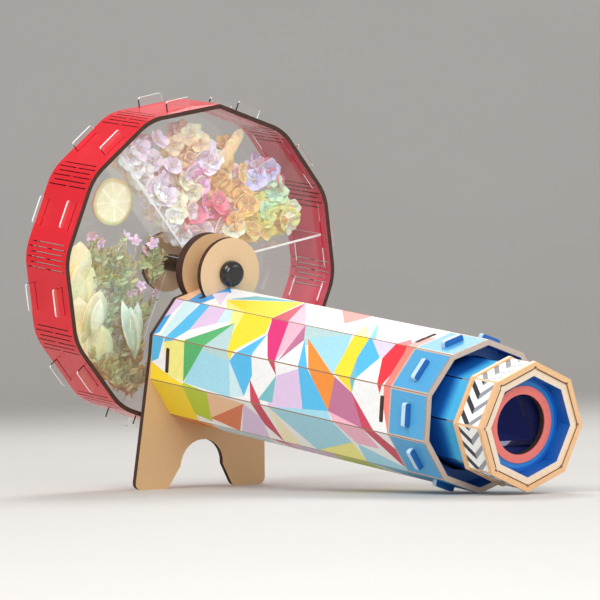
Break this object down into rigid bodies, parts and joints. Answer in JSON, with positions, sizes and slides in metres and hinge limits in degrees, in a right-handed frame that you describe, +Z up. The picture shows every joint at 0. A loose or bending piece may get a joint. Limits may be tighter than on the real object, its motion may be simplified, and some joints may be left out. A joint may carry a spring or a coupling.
{
  "type": "kaleidoscope",
  "caption": "Board kaleidoscope on an arched stand: a turning plant-filled drum on an axle, a ten-sided tube, a mirror sleeve and an octagonal eyepiece that turns.",
  "frame": {"origin": "on the table, under the middle of the object's box", "axes": "+Z up from the table, -Y towards the eyepiece, +X to the side"},
  "size_m": [0.1536, 0.2752, 0.1783],
  "materials": {
    "rim_red": "gloss red print on thin board, laser-cut dark edges",
    "clear_sheet": "clear acrylic sheet",
    "divider_sheet": "clear to white plastic strip",
    "dried_plants": "dried flowers, petals and herbs",
    "plain_board": "plain thin board with dark laser-cut edges",
    "pale_board": "pale thin board",
    "tube_print": "board printed with coloured triangles",
    "collar_blue": "blue printed board",
    "sleeve_blue": "blue printed board",
    "frame_tan": "tan board edge",
    "band_print": "white print with dark chevrons",
    "eye_blue": "blue printed board",
    "ring_salmon": "salmon printed ring",
    "black_plastic": "gloss black plastic",
    "mirror": "mirror strip"
  },
  "bodies": {
    "stand": {"stand_plate": "plain_board", "hub_backing_disc": "plain_board", "locating_ring": "plain_board", "tube_wrap_left": "tube_print", "tube_wrap_right": "tube_print", "tube_former_rear": "pale_board", "tube_former_front": "pale_board", "collar_coupler": "pale_board", "collar_band": "collar_blue", "collar_former": "plain_board"},
    "drum": {"rim_strip_a": "rim_red", "rim_strip_b": "rim_red", "front_window": "clear_sheet", "rear_window": "clear_sheet", "divider_1": "divider_sheet", "divider_2": "divider_sheet", "divider_3": "divider_sheet", "petal_fill": "dried_plants", "herb_fill": "dried_plants", "leaf_fill": "dried_plants", "hub_spacer": "black_plastic", "hub_disc_front": "pale_board", "hub_disc_rear": "pale_board", "drum_spacer": "black_plastic", "axle": "black_plastic", "axle_knob": "black_plastic", "axle_rear_cap": "black_plastic"},
    "eyepiece": {"inner_sleeve": "sleeve_blue", "sleeve_stop_rear": "pale_board", "sleeve_stop_front": "pale_board", "mirror_1": "mirror", "mirror_2": "mirror", "mirror_3": "mirror", "mirror_holder_rear": "pale_board", "mirror_holder_front": "pale_board", "eyepiece_frame_back": "frame_tan", "eyepiece_band": "band_print", "eyepiece_frame_front": "frame_tan", "eye_plate": "eye_blue", "eye_ring": "ring_salmon"}
  },
  "joints": [
    {"name": "drum_spin", "type": "hinge", "parent": "stand", "child": "drum", "pos_m": [0, 0.09558, 0.0984], "axis": [0, -0.9905, -0.1377], "continuous": true},
    {"name": "eyepiece_turn", "type": "hinge", "parent": "stand", "child": "eyepiece", "pos_m": [0, 0.10088, 0.06026], "axis": [0, -0.9905, -0.1377], "continuous": true}
  ]
}
